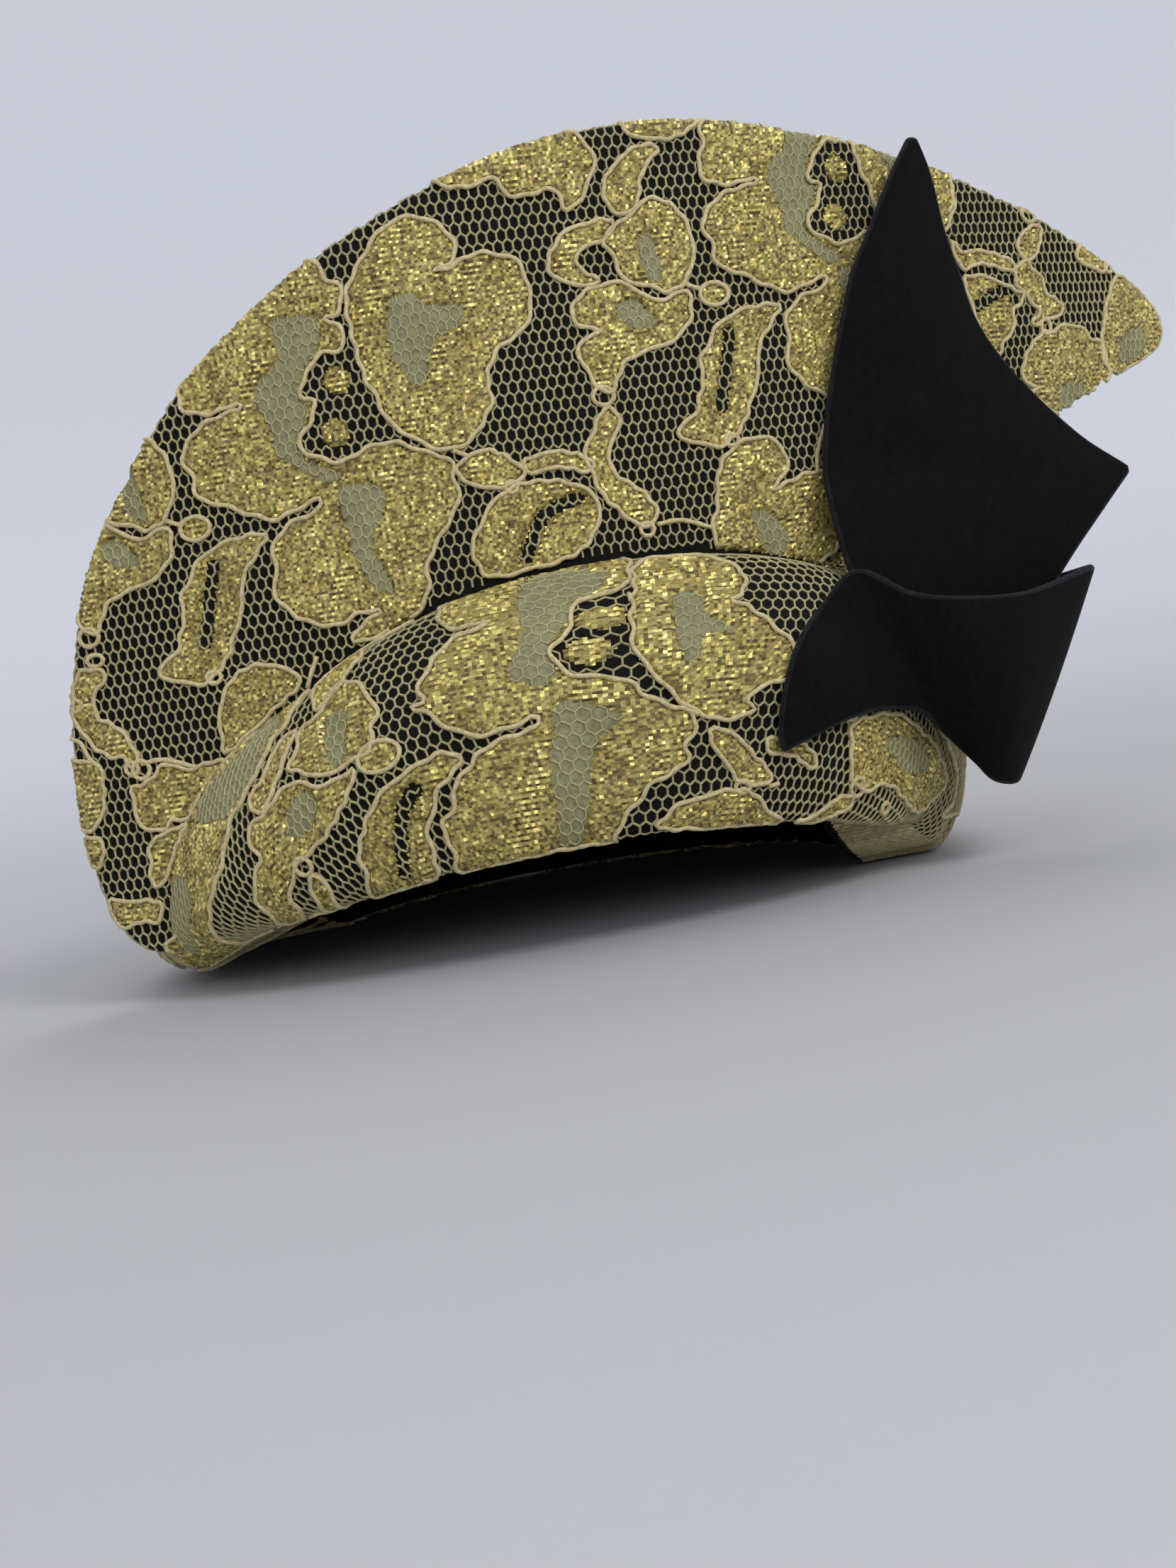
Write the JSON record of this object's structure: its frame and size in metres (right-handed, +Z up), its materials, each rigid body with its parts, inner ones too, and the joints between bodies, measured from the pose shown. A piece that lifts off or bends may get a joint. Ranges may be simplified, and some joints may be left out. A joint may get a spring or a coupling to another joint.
{
  "type": "pillbox hat with halo brim",
  "caption": "Puffed pillbox hat in gold corded lace over black cloth, with a tall fan-shaped halo brim across its front and a folded black felt bow at one side.",
  "frame": {"origin": "middle of the hat's box, on the floor that the crown's rim stands on", "axes": "+Z up, the hat's front faces -Y, +X is the viewer's right seen from the front, where the bow is"},
  "size_m": [0.3098, 0.176, 0.1855],
  "materials": {
    "lace": "corded metallic lace over black cloth",
    "felt": "matte wool felt"
  },
  "bodies": {
    "root": {"crown": "lace", "halo": "lace", "bow_petal": "felt", "bow_wrap": "felt"}
  },
  "joints": []
}
